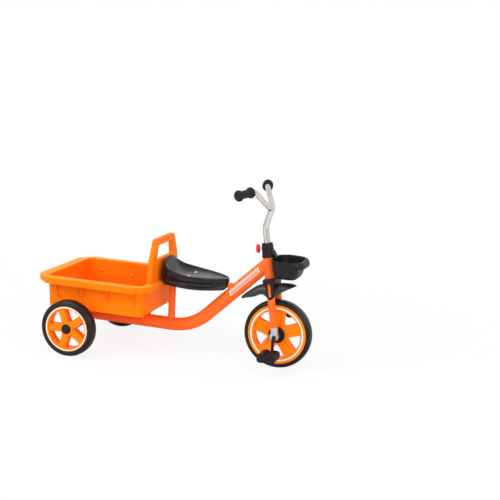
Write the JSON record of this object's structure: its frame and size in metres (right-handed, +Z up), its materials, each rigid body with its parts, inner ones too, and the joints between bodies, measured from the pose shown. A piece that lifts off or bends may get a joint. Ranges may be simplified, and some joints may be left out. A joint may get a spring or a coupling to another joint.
{
  "type": "child's tricycle with cargo tub",
  "caption": "Front-driven child's tricycle with a swept tube frame, moulded saddle, cargo tub behind the seat and a small front basket.",
  "frame": {"origin": "on the ground, under the middle of the overall length and on the centre plane", "axes": "+X forward, +Y to the rider's left, +Z up"},
  "size_m": [1.052, 0.515, 0.685],
  "materials": {
    "frame_paint": "gloss powder coat",
    "orange_plastic": "moulded, satin gloss",
    "black_plastic": "moulded, fine grain",
    "tyre_foam": "foamed tyre, matt",
    "grip_rubber": "soft ribbed rubber",
    "chrome": "bright plated",
    "steel": "zinc plated",
    "red_plastic": "moulded, gloss"
  },
  "bodies": {
    "frame": {"main_tube": "frame_paint", "tube_plug": "black_plastic", "axle_tube": "frame_paint", "axle_spacer_right": "black_plastic", "axle_spacer_left": "black_plastic", "axle_rod": "steel", "head_tube": "frame_paint", "head_bush_lower": "black_plastic", "head_bush_upper": "black_plastic", "seat_post": "frame_paint", "seat_strap": "steel", "seat": "black_plastic", "nose_block": "frame_paint", "tub": "orange_plastic", "bearer_rear": "frame_paint", "bearer_front": "frame_paint"},
    "steering": {"steerer": "steel", "fork_crown": "frame_paint", "fork_leg_right": "frame_paint", "fork_leg_left": "frame_paint", "dropout_right": "chrome", "dropout_left": "chrome", "fork_shroud": "black_plastic", "leg_guard_right": "black_plastic", "leg_guard_left": "black_plastic", "mudguard": "black_plastic", "collar": "black_plastic", "knob_screw": "steel", "knob": "red_plastic", "stem": "chrome", "handlebar": "chrome", "grip_right": "grip_rubber", "grip_left": "grip_rubber", "basket": "black_plastic"},
    "front_wheel": {"front_tyre": "tyre_foam", "front_rim": "orange_plastic", "front_hub_disc_right": "black_plastic", "front_hub_disc_left": "black_plastic", "crank": "steel"},
    "right_pedal": {"pedal_right": "grip_rubber"},
    "left_pedal": {"pedal_left": "grip_rubber"},
    "rear_wheel_right": {"rear_tyre_right": "tyre_foam", "rear_rim_right": "orange_plastic", "rear_hub_cap_right": "black_plastic"},
    "rear_wheel_left": {"rear_tyre_left": "tyre_foam", "rear_rim_left": "orange_plastic", "rear_hub_cap_left": "black_plastic"}
  },
  "joints": [
    {"name": "steer", "type": "hinge", "parent": "frame", "child": "steering", "pos_m": [0.3881, 0, 0.12875], "axis": [-0.1564, 0, 0.9877], "range_deg": [-45, 45]},
    {"name": "front_wheel_spin", "type": "hinge", "parent": "steering", "child": "front_wheel", "pos_m": [0.396, 0, 0.13], "axis": [0, 1, 0], "continuous": true},
    {"name": "right_pedal_spin", "type": "hinge", "parent": "front_wheel", "child": "right_pedal", "pos_m": [0.396, -0.1, 0.07], "axis": [0, 1, 0], "continuous": true},
    {"name": "left_pedal_spin", "type": "hinge", "parent": "front_wheel", "child": "left_pedal", "pos_m": [0.396, 0.1, 0.19], "axis": [0, 1, 0], "continuous": true},
    {"name": "rear_wheel_right_spin", "type": "hinge", "parent": "frame", "child": "rear_wheel_right", "pos_m": [-0.356, -0.231, 0.107], "axis": [0, 1, 0], "continuous": true},
    {"name": "rear_wheel_left_spin", "type": "hinge", "parent": "frame", "child": "rear_wheel_left", "pos_m": [-0.356, 0.231, 0.107], "axis": [0, 1, 0], "continuous": true}
  ]
}
